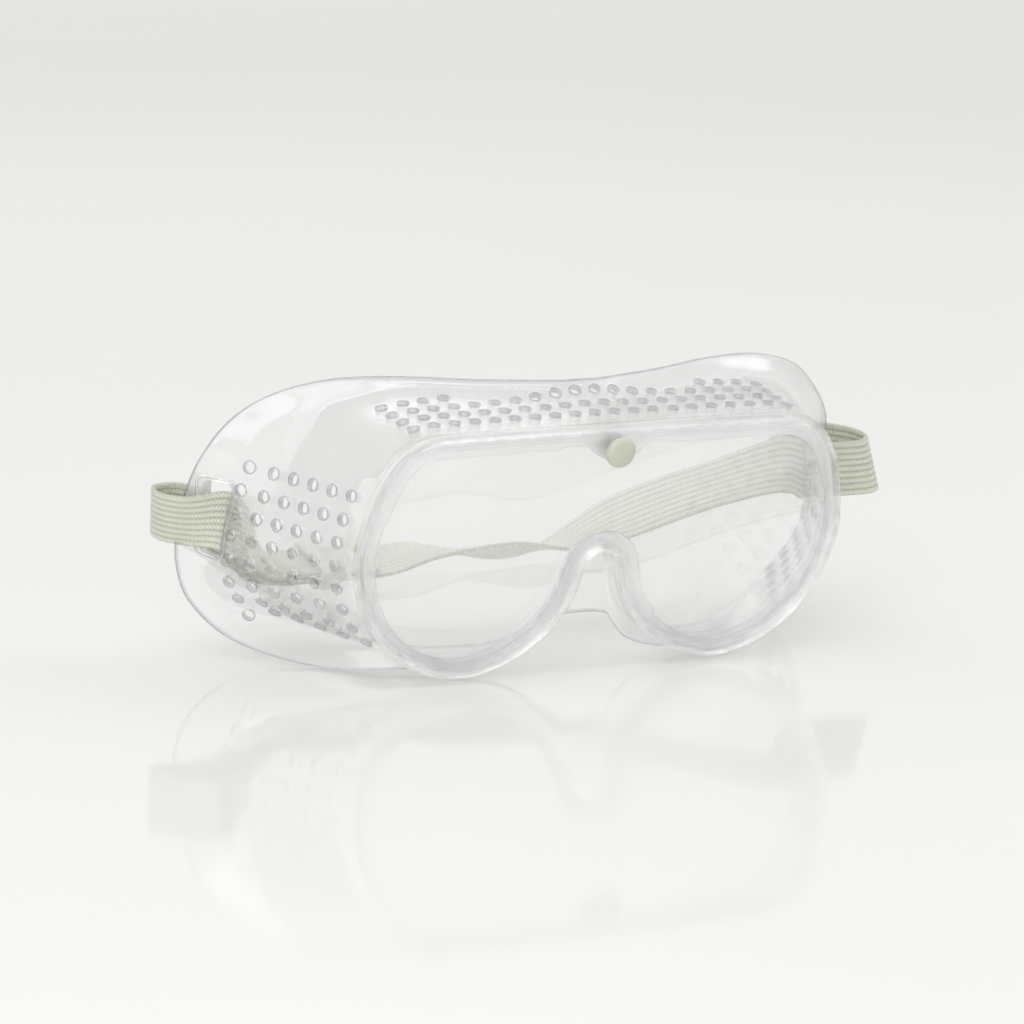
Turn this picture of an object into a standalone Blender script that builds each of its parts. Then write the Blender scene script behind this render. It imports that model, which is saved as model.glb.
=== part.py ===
"""Clear safety goggles: soft moulded frame, flat lens, snap button and elastic head strap.

The goggles are drawn upright in millimetres: X across the face, Y back from the front
of the rim, Z up from the bottom of the rim. One empty then leans them forward until
they stand on the rim's two lobes and on the lower edge of the face seal.
"""
import math

import bmesh
import bpy
from mathutils import Matrix, Vector

MM = 0.001
GAP = 0.3

# Frame moulding
WALL = 1.5
LIP_WIDTH = 5.0
LIP_REAR_WIDTH = 4.4
LIP_FRONT_DEPTH = 1.6
GROOVE_DEPTH = 2.1
GROOVE_INSET = 2.0
LIP_REAR_DEPTH = 1.5
RIM_DEPTH = 6.0
STATION_STEP = 3.7

# Lens and its snap fastener
LENS_THICKNESS = GROOVE_DEPTH - 2 * GAP
LENS_INSET = GROOVE_INSET + GAP
BUTTON_HEIGHT = 60.2
BUTTON_RADIUS = 4.0
STEM_RADIUS = 1.4
TAB_HALF_WIDTH = 8.0
TAB_DROP = 4.4

# Vents
VENT_RADIUS = 1.55
VENT_SIDES = 6
TOP_COLUMNS = 20
TOP_PITCH = 5.6
TOP_ROWS = (10.0, 15.8, 21.6, 27.4)
TOP_REAR_ROW_ENDS = 4
SIDE_ROWS = 8
SIDE_ROW_PITCH = 6.35
SIDE_FIRST_ROW = 75.8
SIDE_ROW_SLANT = 0.36
SIDE_COLUMNS = (10.2, 16.6, 23.0, 29.4, 35.8, 42.2)

# Strap
STRAP_WIDTH = 16.0
STRAP_THICKNESS = 1.3
LAYER_OFFSET = 0.5 * (STRAP_THICKNESS + 0.6)
SLOT_HEIGHT = 20.0
SLOT_CENTRE = (89.0, 46.7, 28.6)
SLOT_WIDTH = 5.2
TAIL_END = -43.0
SLIDE_PLACE = -57.0
SLIDE_LENGTH = 6.0
SLIDE_WALL = 1.3

# How the goggles stand
LEAN = math.radians(12)

# Half of the frame from the top centre round the temple to the nose, as hull lines:
# rim outline x, z, then the waist of the wall x, y, z, then the face edge x, y, z.
HULL_LINES = (
    (0.0, 67.0, 0.0, 19.0, 67.3, 0.0, 25.2, 70.2),
    (5.0, 67.0, 4.9, 19.2, 67.2, 5.1, 25.4, 70.1),
    (10.0, 67.0, 9.8, 20.0, 66.9, 10.2, 26.4, 70.0),
    (26.0, 67.0, 26.2, 25.4, 66.2, 26.9, 32.0, 69.0),
    (43.9, 66.8, 44.6, 32.8, 65.2, 47.2, 39.7, 68.0),
    (52.9, 66.2, 54.0, 36.3, 63.8, 61.5, 42.8, 66.8),
    (59.9, 62.2, 66.0, 38.8, 60.0, 75.2, 45.7, 62.6),
    (64.4, 55.7, 74.3, 40.8, 52.6, 85.0, 49.0, 54.8),
    (67.3, 47.0, 80.1, 42.3, 43.2, 91.6, 49.8, 45.0),
    (69.1, 36.0, 84.0, 43.5, 32.4, 94.0, 52.6, 34.0),
    (68.0, 26.8, 86.2, 44.8, 23.4, 94.5, 55.0, 22.8),
    (65.4, 19.6, 86.4, 45.2, 15.4, 93.6, 54.7, 12.3),
    (61.8, 13.3, 83.6, 45.4, 9.4, 90.2, 52.2, 3.2),
    (55.0, 6.6, 75.0, 40.5, 5.6, 80.5, 45.0, -5.2),
    (47.0, 2.2, 60.4, 28.0, 3.4, 67.0, 30.5, -6.7),
    (37.6, -0.2, 45.4, 18.0, 2.4, 53.0, 18.4, -3.9),
    (29.3, 1.1, 33.0, 12.8, 3.4, 37.5, 13.4, -2.6),
    (21.8, 4.1, 23.4, 9.4, 5.2, 24.4, 10.4, -0.6),
    (15.7, 8.2, 16.2, 8.6, 8.2, 15.4, 9.8, 2.6),
    (11.6, 12.1, 11.7, 8.5, 11.4, 11.0, 9.6, 6.9),
    (8.3, 16.8, 8.4, 8.5, 15.7, 8.5, 9.5, 10.2),
    (6.0, 22.3, 6.1, 8.5, 20.8, 6.2, 9.4, 11.0),
    (4.6, 28.2, 4.3, 8.5, 25.9, 4.2, 9.3, 11.3),
    (2.5, 31.3, 2.3, 8.5, 28.6, 2.1, 9.3, 11.4),
    (0.0, 32.1, 0.0, 8.5, 29.3, 0.0, 9.3, 11.4),
)

# Strap across the open back, right to left: x, y, z and lean of its width, in degrees.
STRAP_ROUTE = (
    (79.0, 44.7, 33.0, 38.0),
    (72.0, 44.0, 32.3, 58.0),
    (58.0, 44.6, 29.0, 70.0),
    (44.0, 45.3, 25.2, 70.0),
    (30.0, 45.6, 20.6, 72.0),
    (20.0, 45.6, 16.6, 88.0),
    (12.0, 45.8, 13.9, 106.0),
    (4.0, 46.3, 12.9, 122.0),
    (-4.0, 46.8, 13.0, 127.0),
    (-18.0, 47.6, 13.9, 112.0),
    (-28.0, 47.9, 14.2, 98.0),
    (-38.0, 47.3, 12.9, 89.0),
    (-46.0, 47.0, 12.2, 90.0),
    (-52.0, 47.0, 12.2, 90.0),
    (-60.0, 47.0, 12.2, 90.0),
    (-68.0, 47.0, 12.2, 90.0),
)

# Strap ends, each a loop round the bar behind a temple slot: x, y, z and lean.
LOOP_RIGHT = (
    (81.0, 45.2, 31.8, 30.0),
    (84.0, 46.0, 30.2, 10.0),
    (87.8, 47.0, 29.2, 0.0),
    (93.2, 47.6, 29.0, 0.0),
    (100.0, 47.2, 29.0, 0.0),
    (106.0, 47.5, 29.2, 0.0),
    (108.6, 50.7, 29.4, 0.0),
    (106.4, 54.6, 29.8, 0.0),
    (100.0, 57.4, 30.2, 0.0),
    (94.0, 58.4, 30.6, 0.0),
    (88.0, 56.8, 31.2, 2.0),
    (83.0, 52.6, 31.8, 14.0),
    (79.6, 48.4, 32.0, 32.0),
    (76.4, 46.6, 31.4, 46.0),
)
LOOP_LEFT = (
    (-68.8, 47.0, 12.2, 90.0),
    (-72.5, 47.2, 13.4, 80.0),
    (-76.5, 48.5, 16.6, 55.0),
    (-80.5, 51.8, 20.4, 25.0),
    (-84.6, 56.6, 23.2, 6.0),
    (-89.2, 62.6, 24.8, 0.0),
    (-93.5, 65.6, 25.6, 0.0),
    (-97.6, 64.4, 26.2, 0.0),
    (-98.9, 59.6, 26.8, 0.0),
    (-96.6, 54.0, 27.5, 0.0),
    (-92.6, 49.4, 28.0, 0.0),
    (-87.6, 47.0, 28.0, 0.0),
    (-83.4, 45.8, 27.4, 6.0),
    (-79.0, 44.9, 24.4, 25.0),
    (-75.0, 45.4, 19.6, 55.0),
    (-71.6, 46.4, 15.4, 80.0),
    (-68.8, 46.9, 14.1, 90.0),
)


def clear_scene():
    for old in list(bpy.data.objects):
        bpy.data.objects.remove(old)


def new_collection(name):
    collection = bpy.data.collections.new(name)
    bpy.context.scene.collection.children.link(collection)
    return collection


def make_material(name, colour, roughness, metallic=0.0):
    material = bpy.data.materials.new(name)
    material.use_nodes = True
    shader = material.node_tree.nodes["Principled BSDF"]
    shader.inputs["Base Color"].default_value = (*colour, 1.0)
    shader.inputs["Roughness"].default_value = roughness
    shader.inputs["Metallic"].default_value = metallic
    material.diffuse_color = (*colour, 1.0)
    return material


def add_object(name, mesh, collection, material=None):
    piece = bpy.data.objects.new(name, mesh)
    collection.objects.link(piece)
    piece.parent = STAND
    if material:
        piece.data.materials.append(material)
    return piece


def add_cutter(name, mesh):
    cutter = add_object(name, mesh, CUTTERS)
    cutter.hide_render = True
    cutter.display_type = "WIRE"
    return cutter


def cut(piece, cutter):
    modifier = piece.modifiers.new(cutter.name, "BOOLEAN")
    modifier.operation = "DIFFERENCE"
    modifier.object = cutter


def curve_to_mesh(piece):
    """Swap a curve object for a welded mesh object in the same place."""
    bpy.context.view_layer.update()
    graph = bpy.context.evaluated_depsgraph_get()
    mesh = bpy.data.meshes.new_from_object(piece.evaluated_get(graph))
    shape = bmesh.new()
    shape.from_mesh(mesh)
    bmesh.ops.remove_doubles(shape, verts=shape.verts, dist=0.00001)
    shape.to_mesh(mesh)
    shape.free()
    name = piece.name
    collection = piece.users_collection[0]
    place = piece.matrix_world.copy()
    bpy.data.objects.remove(piece)
    solid = bpy.data.objects.new(name, mesh)
    collection.objects.link(solid)
    solid.parent = STAND
    solid.matrix_world = place
    return solid


def spline_through(rows, distances, at):
    """A smooth curve through rows of numbers, one row at each distance."""
    last = len(rows) - 1
    index = 0
    while index < last - 1 and distances[index + 1] < at:
        index += 1

    def slope(i):
        low = max(i - 1, 0)
        high = min(i + 1, last)
        span = distances[high] - distances[low]
        return [(b - a) / span for a, b in zip(rows[low], rows[high])]

    span = distances[index + 1] - distances[index]
    t = (at - distances[index]) / span
    start = (2 * t**3 - 3 * t**2 + 1, t**3 - 2 * t**2 + t)
    end = (3 * t**2 - 2 * t**3, t**3 - t**2)
    values = zip(rows[index], slope(index), rows[index + 1], slope(index + 1))
    return [start[0] * a + start[1] * span * da + end[0] * b + end[1] * span * db
            for a, da, b, db in values]


def mirrored(line):
    """A hull line on the other side of the goggles."""
    return tuple(-value if place in (0, 2, 5) else value for place, value in enumerate(line))


def hull_table():
    """The hull lines, with one mirrored line past each end, and their distances."""
    lines = [mirrored(HULL_LINES[1]), *HULL_LINES, mirrored(HULL_LINES[-2])]
    distances = [0.0]
    for before, after in zip(lines, lines[1:]):
        distances.append(distances[-1] + math.dist(before[:2], after[:2]))
    zero = distances[1]
    return lines, [distance - zero for distance in distances]


LINES, DISTANCES = hull_table()
HALF_LENGTH = DISTANCES[-2]


def hull_line(at):
    """Rim, waist and face edge points at a distance along the rim from the top centre."""
    values = spline_through(LINES, DISTANCES, at)
    rim = Vector((values[0], RIM_DEPTH, values[1]))
    return rim, Vector(values[2:5]), Vector(values[5:8])


def rim_normal(at):
    """Outward direction of the rim outline, in the lens plane."""
    ahead = hull_line(min(at + 0.2, HALF_LENGTH))[0]
    behind = hull_line(max(at - 0.2, 0.0))[0]
    along = (ahead - behind).normalized()
    if at <= 0.0:
        return Vector((0.0, 0.0, 1.0))
    if at >= HALF_LENGTH:
        return Vector((0.0, 0.0, -1.0))
    return Vector((-along.z, 0.0, along.x))


def wall_point(at, across):
    """Outer face of the wall: across runs from 0 at the rim, past 1 at the waist, to 2."""
    rim, waist, edge = hull_line(at)
    turn_in = rim.lerp(waist, 0.72)
    turn_out = waist.lerp(edge, 0.45)
    if across <= 0.8:
        return rim.lerp(turn_in, across / 0.8)
    if across >= 1.4:
        return turn_out.lerp(edge, (across - 1.4) / 0.6)
    t = (across - 0.8) / 0.6
    return turn_in.lerp(waist, t).lerp(waist.lerp(turn_out, t), t)


def wall_normal(at, across):
    """Direction out of the wall's outer face."""
    step = 0.3
    side = wall_point(min(at + step, HALF_LENGTH), across)
    side = side - wall_point(max(at - step, 0.0), across)
    back = wall_point(at, min(across + 0.03, 2.0)) - wall_point(at, max(across - 0.03, 0.0))
    normal = side.cross(back)
    if at <= 0.0 or at >= HALF_LENGTH:
        normal.x = 0.0
    return normal.normalized()


def tab_drop(at):
    """How much the lips widen at the tab that holds the snap button."""
    if at >= TAB_HALF_WIDTH:
        return 0.0
    return TAB_DROP * math.cos(0.5 * math.pi * at / TAB_HALF_WIDTH) ** 0.6


def frame_section(at):
    """One closed cross-section of the frame moulding, front lip first, then the wall."""
    rim = hull_line(at)[0]
    normal = rim_normal(at)
    drop = tab_drop(at)
    front = LIP_WIDTH + drop
    rear = LIP_REAR_WIDTH + drop
    groove_front = LIP_FRONT_DEPTH
    groove_back = groove_front + GROOVE_DEPTH
    lip_back = groove_back + LIP_REAR_DEPTH
    lips = (
        (WALL + 0.3, lip_back + 0.9), (WALL + 1.1, lip_back), (rear, lip_back), (rear, groove_back),
        (GROOVE_INSET, groove_back), (GROOVE_INSET, groove_front), (front, groove_front),
        (front, 0.6), (front - 0.7, 0.0), (1.3, 0.0), (0.0, 1.3),
    )
    points = []
    for inset, depth in lips:
        point = rim - normal * inset
        point.y = depth
        points.append(point)
    across = (0.0, 0.8, 1.1, 1.4, 2.0)
    outer = [wall_point(at, value) for value in across]
    inner = [wall_point(at, value) - wall_normal(at, value) * WALL for value in across]
    return points + outer + inner[::-1]


def loft(sections, closed_ends):
    """A mesh through equal cross-sections, each a closed loop of points."""
    shape = bmesh.new()
    rings = [[shape.verts.new(point * MM) for point in section] for section in sections]
    count = len(rings[0])
    for first, second in zip(rings, rings[1:]):
        for i in range(count):
            j = (i + 1) % count
            shape.faces.new((first[i], first[j], second[j], second[i]))
    if closed_ends:
        shape.faces.new(rings[0][::-1])
        shape.faces.new(rings[-1])
    bmesh.ops.recalc_face_normals(shape, faces=shape.faces)
    mesh = bpy.data.meshes.new("loft")
    shape.to_mesh(mesh)
    shape.free()
    return mesh


def make_frame(material):
    steps = round(HALF_LENGTH / STATION_STEP)
    sections = [frame_section(HALF_LENGTH * i / steps) for i in range(steps + 1)]
    for end in (sections[0], sections[-1]):
        for point in end:
            point.x = 0.0
    frame = add_object("frame_moulding", loft(sections, closed_ends=False), PARTS, material)
    if frame.data.polygons[0].normal.y > 0:
        frame.data.flip_normals()
    mirror = frame.modifiers.new("other_half", "MIRROR")
    mirror.use_clip = True
    mirror.merge_threshold = 0.00001
    return frame


def across_at_depth(at, depth):
    """Where along a wall section the outer face reaches a depth."""
    low = 0.0
    high = 2.0
    for _ in range(30):
        middle = 0.5 * (low + high)
        if wall_point(at, middle).y < depth:
            low = middle
        else:
            high = middle
    return low


def vent_places():
    """Distance along the rim and depth of every vent on the +X half."""
    places = []
    for row, depth in enumerate(TOP_ROWS):
        for column in range(TOP_COLUMNS // 2):
            from_end = TOP_COLUMNS // 2 - 1 - column
            if row < len(TOP_ROWS) - 1 or from_end < TOP_REAR_ROW_ENDS:
                places.append(((column + 0.5) * TOP_PITCH, depth))
    for row in range(SIDE_ROWS):
        for column, depth in enumerate(SIDE_COLUMNS):
            at = SIDE_FIRST_ROW + row * SIDE_ROW_PITCH + column * SIDE_ROW_SLANT
            places.append((at, depth))
    return places


def make_vent_cutters():
    shape = bmesh.new()
    for at, depth in vent_places():
        across = across_at_depth(at, depth)
        centre = wall_point(at, across)
        normal = wall_normal(at, across)
        for side in (1.0, -1.0):
            mirror = Vector((side, 1.0, 1.0))
            place = Matrix.Translation(centre * mirror * MM)
            turn = (normal * mirror).to_track_quat("Z", "Y").to_matrix().to_4x4()
            bmesh.ops.create_cone(
                shape, cap_ends=True, segments=VENT_SIDES, radius1=VENT_RADIUS * MM,
                radius2=VENT_RADIUS * MM, depth=6 * WALL * MM, matrix=place @ turn)
    mesh = bpy.data.meshes.new("vent_cutters")
    shape.to_mesh(mesh)
    shape.free()
    return add_cutter("vent_cutters", mesh)


def box_mesh(name, centre, size):
    shape = bmesh.new()
    place = Matrix.Translation(Vector(centre) * MM)
    scale = Matrix.Diagonal(Vector((*size, 1.0)) * MM)
    scale[3][3] = 1.0
    bmesh.ops.create_cube(shape, size=1.0, matrix=place @ scale)
    mesh = bpy.data.meshes.new(name)
    shape.to_mesh(mesh)
    shape.free()
    return mesh


def stem_hole(name, radius):
    """A cutter through the lips and the lens on the snap button's axis."""
    shape = bmesh.new()
    place = Matrix.Translation(Vector((0.0, 3.0, BUTTON_HEIGHT)) * MM)
    turn = Matrix.Rotation(math.radians(90), 4, "X")
    bmesh.ops.create_cone(
        shape, cap_ends=True, segments=16, radius1=radius * MM, radius2=radius * MM,
        depth=12 * MM, matrix=place @ turn)
    mesh = bpy.data.meshes.new(name)
    shape.to_mesh(mesh)
    shape.free()
    return add_cutter(name, mesh)


def make_lens(material):
    """The flat window: the rim outline drawn in to the bottom of the groove."""
    steps = round(HALF_LENGTH / 2.6)
    half = []
    for i in range(steps + 1):
        at = HALF_LENGTH * i / steps
        half.append(hull_line(at)[0] - rim_normal(at) * LENS_INSET)
    half[0].x = 0.0
    half[-1].x = 0.0
    outline = half + [Vector((-p.x, p.y, p.z)) for p in half[-2:0:-1]]
    curve = bpy.data.curves.new("lens", "CURVE")
    curve.dimensions = "2D"
    curve.fill_mode = "BOTH"
    curve.extrude = 0.5 * LENS_THICKNESS * MM
    spline = curve.splines.new("POLY")
    spline.points.add(len(outline) - 1)
    for target, point in zip(spline.points, outline):
        target.co = (point.x * MM, point.z * MM, 0.0, 1.0)
    spline.use_cyclic_u = True
    flat = add_object("lens", curve, PARTS)
    flat.rotation_euler = (math.radians(90), 0.0, 0.0)
    flat.location = (0.0, (LIP_FRONT_DEPTH + 0.5 * GROOVE_DEPTH) * MM, 0.0)
    lens = curve_to_mesh(flat)
    lens.name = "lens"
    lens.data.materials.append(material)
    return lens


def turned(name, profile, depth, material, segments=32):
    """A turned piece on the snap button's axis: radius and distance towards the front."""
    mesh = bpy.data.meshes.new(name)
    points = [(radius * MM, 0.0, height * MM) for radius, height in profile]
    mesh.from_pydata(points, [(i, i + 1) for i in range(len(points) - 1)], [])
    piece = add_object(name, mesh, PARTS, material)
    piece.location = (0.0, depth * MM, BUTTON_HEIGHT * MM)
    piece.rotation_euler = (math.radians(90), 0.0, 0.0)
    screw = piece.modifiers.new("turn", "SCREW")
    screw.steps = segments
    screw.render_steps = segments
    screw.use_merge_vertices = True
    screw.merge_threshold = 0.00001
    screw.use_normal_calculate = False
    screw.use_smooth_shade = True
    return piece


def make_snap_button(material):
    """A low dome with a stem through the rim, the lens and the rear lip."""
    dome = [(BUTTON_RADIUS * math.sin(angle), 0.9 + 1.7 * math.cos(angle))
            for angle in [math.radians(15 * i) for i in range(7)]]
    stem_end = -(LIP_FRONT_DEPTH + GROOVE_DEPTH + LIP_REAR_DEPTH + 2.2)
    profile = dome + [
        (BUTTON_RADIUS, GAP), (STEM_RADIUS, GAP), (STEM_RADIUS, stem_end + 0.5),
        (STEM_RADIUS - 0.5, stem_end), (0.0, stem_end),
    ]
    return turned("snap_button", profile, 0.0, material)


def make_snap_socket(material):
    """The ring behind the rear lip that the button's stem snaps into."""
    back = LIP_FRONT_DEPTH + GROOVE_DEPTH + LIP_REAR_DEPTH + GAP
    inner = STEM_RADIUS + GAP
    profile = [(inner, 0.0), (3.3, 0.0), (3.7, -0.4), (3.3, -2.0), (inner, -2.0), (inner, 0.0)]
    return turned("snap_socket", profile, back, material)


def strap_frames():
    """Points, width directions and face directions along the strap's free run."""
    rows = STRAP_ROUTE
    distances = [0.0]
    for before, after in zip(rows, rows[1:]):
        distances.append(distances[-1] + math.dist(before[:3], after[:3]))
    count = round(distances[-1] / 4.0)
    samples = []
    for i in range(count + 1):
        samples.append(spline_through(rows, distances, distances[-1] * i / count))
    points = [Vector(sample[:3]) for sample in samples]
    widths = []
    for i, sample in enumerate(samples):
        ahead = points[min(i + 1, count)]
        along = (ahead - points[max(i - 1, 0)]).normalized()
        back = along.cross(Vector((0.0, 0.0, 1.0))).normalized()
        lean = math.radians(sample[3])
        widths.append(back.cross(along) * math.cos(lean) + back * math.sin(lean))
    return points, widths


def band_mesh(points, widths):
    """A flat band along points, its width along the given directions."""
    sections = []
    for i, point in enumerate(points):
        ahead = points[min(i + 1, len(points) - 1)]
        along = (ahead - points[max(i - 1, 0)]).normalized()
        wide = widths[i] * (0.5 * STRAP_WIDTH)
        thick = along.cross(wide).normalized() * (0.5 * STRAP_THICKNESS)
        sections.append([point - wide - thick, point + wide - thick,
                         point + wide + thick, point - wide + thick])
    return loft(sections, closed_ends=True)


def band_faces(points, widths):
    """Face direction of the band at each point."""
    faces = []
    for i, wide in enumerate(widths):
        ahead = points[min(i + 1, len(points) - 1)]
        along = (ahead - points[max(i - 1, 0)]).normalized()
        faces.append(along.cross(wide).normalized())
    return faces


def make_strap(material):
    """The band across the back, and the tail that lies on it up to the slide."""
    points, widths = strap_frames()
    band = add_object("strap_band", band_mesh(points, widths), PARTS, material)
    faces = band_faces(points, widths)
    tail = [i for i, point in enumerate(points) if point.x < TAIL_END]
    offset = 2 * LAYER_OFFSET
    tail_points = [points[i] - faces[i] * offset for i in tail]
    add_object("strap_tail", band_mesh(tail_points, [widths[i] for i in tail]), PARTS, material)
    return band


def smooth_run(rows, step=1.6):
    """Evenly spaced points on a smooth curve through the rows."""
    distances = [0.0]
    for before, after in zip(rows, rows[1:]):
        distances.append(distances[-1] + math.dist(before[:3], after[:3]))
    count = round(distances[-1] / step)
    return [spline_through(rows, distances, distances[-1] * i / count) for i in range(count + 1)]


def make_temple_loop(name, rows, material):
    """One strap end: round the bar behind a temple slot and back to the free run."""
    samples = smooth_run(rows)
    points = [Vector(sample[:3]) for sample in samples]
    widths = []
    for sample in samples:
        lean = math.radians(sample[3])
        widths.append(Vector((0.0, math.sin(lean), math.cos(lean))))
    return add_object(name, band_mesh(points, widths), PARTS, material)


def make_slide(material):
    """A rectangular slide round both layers of the strap."""
    points, widths = strap_frames()
    faces = band_faces(points, widths)
    middle = min(range(len(points)), key=lambda i: abs(points[i].x - SLIDE_PLACE))
    along = (points[middle + 1] - points[middle - 1]).normalized()
    wide = widths[middle]
    face = faces[middle]
    turn = Matrix((wide, face, -along)).transposed().to_4x4()
    if turn.determinant() < 0:
        turn = Matrix((wide, face, along)).transposed().to_4x4()
    centre = points[middle] - face * LAYER_OFFSET
    inner = (STRAP_WIDTH + 2 * GAP + 0.4, 2 * STRAP_THICKNESS + 3 * GAP + 0.3)
    outer = (inner[0] + 2 * SLIDE_WALL, inner[1] + 2 * SLIDE_WALL)
    slide = add_object(
        "strap_slide", box_mesh("strap_slide", (0, 0, 0), (*outer, SLIDE_LENGTH)), PARTS, material)
    slide.location = centre * MM
    slide.rotation_euler = turn.to_euler()
    bevel = slide.modifiers.new("rounding", "BEVEL")
    bevel.width = 0.5 * MM
    bevel.segments = 2
    window = add_cutter(
        "slide_window", box_mesh("slide_window", (0, 0, 0), (*inner, 2 * SLIDE_LENGTH)))
    window.location = slide.location
    window.rotation_euler = slide.rotation_euler
    cut(slide, window)
    return slide


def stand_up():
    """Lean the goggles forward and put the middle of their footprint at the origin."""
    STAND.rotation_euler = (LEAN, 0.0, 0.0)
    bpy.context.view_layer.update()
    graph = bpy.context.evaluated_depsgraph_get()
    corners = []
    for piece in STAND.children:
        if piece.display_type == "WIRE":
            continue
        solid = piece.evaluated_get(graph)
        corners.extend(solid.matrix_world @ vertex.co for vertex in solid.data.vertices)
    sides = [corner.x for corner in corners]
    depths = [corner.y for corner in corners]
    lowest = min(corner.z for corner in corners)
    STAND.location = (
        -0.5 * (min(sides) + max(sides)), -0.5 * (min(depths) + max(depths)), -lowest)
    bpy.context.view_layer.update()


clear_scene()
PARTS = new_collection("safety_goggles")
CUTTERS = new_collection("cutters")
STAND = bpy.data.objects.new("stand", None)
PARTS.objects.link(STAND)

frame = make_frame(make_material("clear_vinyl", (0.86, 0.89, 0.89), 0.25))
lens = make_lens(make_material("clear_polycarbonate", (0.9, 0.93, 0.93), 0.05))
cut(frame, make_vent_cutters())
for temple in (1.0, -1.0):
    slot_centre = (SLOT_CENTRE[0] * temple, SLOT_CENTRE[1], SLOT_CENTRE[2])
    slot_name = "slot_right" if temple > 0 else "slot_left"
    slot = add_cutter(slot_name, box_mesh(slot_name, slot_centre, (12.0, SLOT_WIDTH, SLOT_HEIGHT)))
    cut(frame, slot)
hole = stem_hole("stem_hole", STEM_RADIUS + GAP)
cut(frame, hole)
cut(lens, hole)

button_plastic = make_material("button_plastic", (0.82, 0.83, 0.76), 0.35)
make_snap_button(button_plastic)
make_snap_socket(make_material("socket_plastic", (0.82, 0.83, 0.76), 0.4))
make_strap(make_material("knitted_elastic", (0.8, 0.8, 0.72), 0.9))
make_temple_loop("strap_loop_right", LOOP_RIGHT,
                 make_material("knitted_elastic_right", (0.8, 0.8, 0.72), 0.9))
make_temple_loop("strap_loop_left", LOOP_LEFT,
                 make_material("knitted_elastic_left", (0.8, 0.8, 0.72), 0.9))
make_slide(make_material("slide_plastic", (0.8, 0.82, 0.78), 0.4))
stand_up()
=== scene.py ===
import math

import bmesh
import bpy
from mathutils import Matrix, Vector


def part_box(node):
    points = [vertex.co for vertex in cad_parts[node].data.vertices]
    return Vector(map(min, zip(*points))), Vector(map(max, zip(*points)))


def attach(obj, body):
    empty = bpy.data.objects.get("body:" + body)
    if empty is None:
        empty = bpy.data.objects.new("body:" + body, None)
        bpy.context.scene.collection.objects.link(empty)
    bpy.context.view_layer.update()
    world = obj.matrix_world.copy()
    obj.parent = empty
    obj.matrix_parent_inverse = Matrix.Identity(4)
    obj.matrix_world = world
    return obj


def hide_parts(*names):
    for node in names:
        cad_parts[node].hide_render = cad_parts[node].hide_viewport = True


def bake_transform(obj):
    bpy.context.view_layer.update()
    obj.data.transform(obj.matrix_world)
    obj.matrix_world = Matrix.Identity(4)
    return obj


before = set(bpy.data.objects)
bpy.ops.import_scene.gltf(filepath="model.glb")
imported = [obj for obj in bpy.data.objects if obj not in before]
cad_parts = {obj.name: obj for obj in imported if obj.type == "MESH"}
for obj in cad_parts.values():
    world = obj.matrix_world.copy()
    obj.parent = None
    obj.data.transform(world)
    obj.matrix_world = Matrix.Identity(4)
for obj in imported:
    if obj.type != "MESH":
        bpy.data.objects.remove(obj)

# The goggles are drawn upright in millimetres, as the CAD draws them: X across the face,
# Y back from the front of the rim, Z up from the bottom of the rim. placed() then leans
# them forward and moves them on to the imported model.
MM = 0.001
LEAN = math.radians(12)

WALL = 1.5
LIP_WIDTH = 5.0
LIP_REAR_WIDTH = 4.4
LIP_FRONT_DEPTH = 1.6
GROOVE_DEPTH = 2.1
GROOVE_INSET = 2.0
LIP_REAR_DEPTH = 1.5
RIM_DEPTH = 6.0
LENS_INSET = 2.3
LENS_FRONT = 1.9
LENS_BACK = 3.4

BUTTON_HEIGHT = 60.2
BUTTON_RADIUS = 4.0
STEM_RADIUS = 1.4
STEM_HOLE_RADIUS = 1.7
TAB_HALF_WIDTH = 8.0
TAB_DROP = 4.4

VENT_RADIUS = 1.55
VENT_RING_RADIUS = 1.67
TOP_COLUMNS = 20
TOP_PITCH = 5.6
TOP_ROWS = (10.0, 15.8, 21.6, 27.4)
TOP_REAR_ROW_ENDS = 4
SIDE_ROWS = 8
SIDE_ROW_PITCH = 6.35
SIDE_FIRST_ROW = 75.8
SIDE_ROW_SLANT = 0.36
SIDE_COLUMNS = (10.2, 16.6, 23.0, 29.4, 35.8, 42.2)

SLOT_CENTRE = (89.0, 46.7, 28.6)
SLOT_SIZE = (12.0, 5.2, 20.0)
SLOT_CORNER = 1.6
SLOT_BEAD_SIZE = (7.2, 22.0)
SLOT_BEAD_CORNER = 2.2

STRAP_WIDTH = 16.0
STRAP_THICKNESS = 1.3
STRAP_RIBS = 9
STITCH_PITCH = 0.95
RIGHT_LOOP_FLARE = 0.4
LEFT_LOOP_FLARE = 0.38
BAR_TACK_STATION = 8
BAR_TACK_WIDTH = 13.5
BAR_TACK_CROSSINGS = 25
RIGHT_JOIN = 40.0
LEFT_JOIN = -68.0
SLIDE_CENTRE = (-57.0, 47.0, 13.15)
SLIDE_OPENING = (17.0, 3.8)

CREASE_ANGLE = 42.0

LIGHT_TARGET = (0.0, 0.0, 0.03)
LIGHTS = (
    ("key", (-0.5, -0.5, 1.1), (0.9, 0.9), 4.5),
    ("front", (-0.9, -1.3, 0.55), (1.0, 0.8), 8.0),
    ("fill", (0.9, -0.2, 0.8), (0.7, 0.7), 2.5),
    ("back", (0.1, 1.0, 0.7), (1.0, 0.4), 1.0),
)

CAMERA_AZIMUTH = -27.14
CAMERA_ELEVATION = 11.68
CAMERA_ROLL = 1.48
CAMERA_AIM = (-23.4, 0.0, 42.6)
CAMERA_DISTANCE = 1.109
CAMERA_LENS = 155.0

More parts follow.
